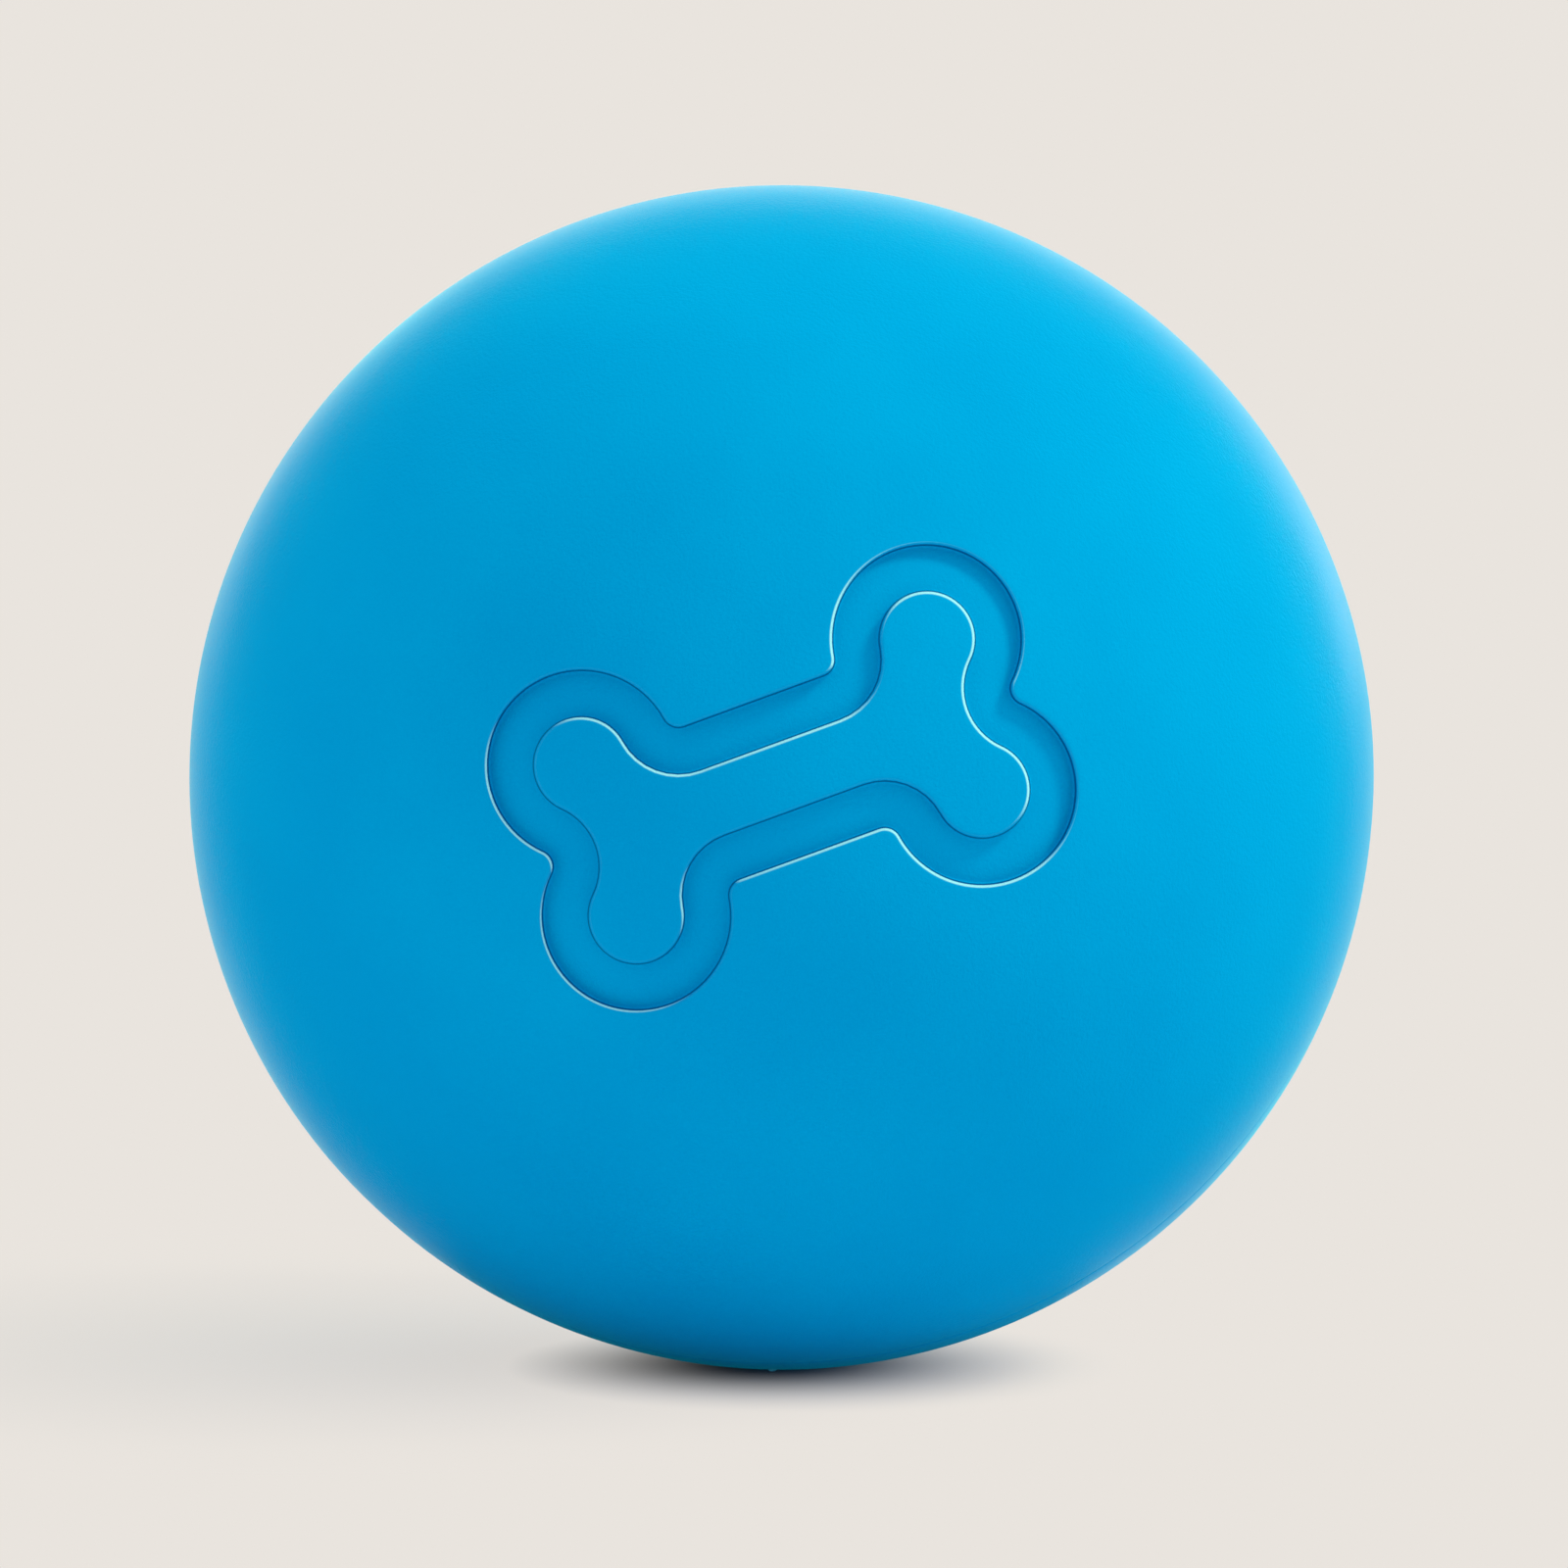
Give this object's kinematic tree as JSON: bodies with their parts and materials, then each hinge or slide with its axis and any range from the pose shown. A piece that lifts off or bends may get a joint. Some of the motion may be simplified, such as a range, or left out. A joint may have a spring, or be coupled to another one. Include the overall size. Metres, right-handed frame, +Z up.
{
  "type": "rubber dog ball",
  "caption": "Hollow rubber ball for dogs, with a cemented stepped seam, a recessed bone outline, and a reed squeaker pressed behind a small vent.",
  "frame": {"origin": "centre of the ball", "axes": "+Z up as the ball lies in the picture, -Y towards the camera, +X to the right of the picture"},
  "size_m": [0.064, 0.0639, 0.064],
  "materials": {
    "blue_rubber": "matt",
    "cured_cement": "matt",
    "white_plastic": "satin",
    "reed_brass": "bright"
  },
  "bodies": {
    "ball": {"front_half_shell": "blue_rubber", "rear_half_shell": "blue_rubber", "seam_cement": "cured_cement", "squeaker_cup": "white_plastic", "squeaker_cap": "white_plastic", "reed_trough": "white_plastic", "reed_clamp": "white_plastic"},
    "reed": {"reed_tongue": "reed_brass"}
  },
  "joints": [
    {"name": "reed_flex", "type": "hinge", "parent": "ball", "child": "reed", "pos_m": [0.00141, 0.01837, -0.00553], "axis": [0.9971, -0.0767, 0], "range_deg": [-4.5, 4.5], "stiffness_Nm_per_rad": 0.0001}
  ]
}
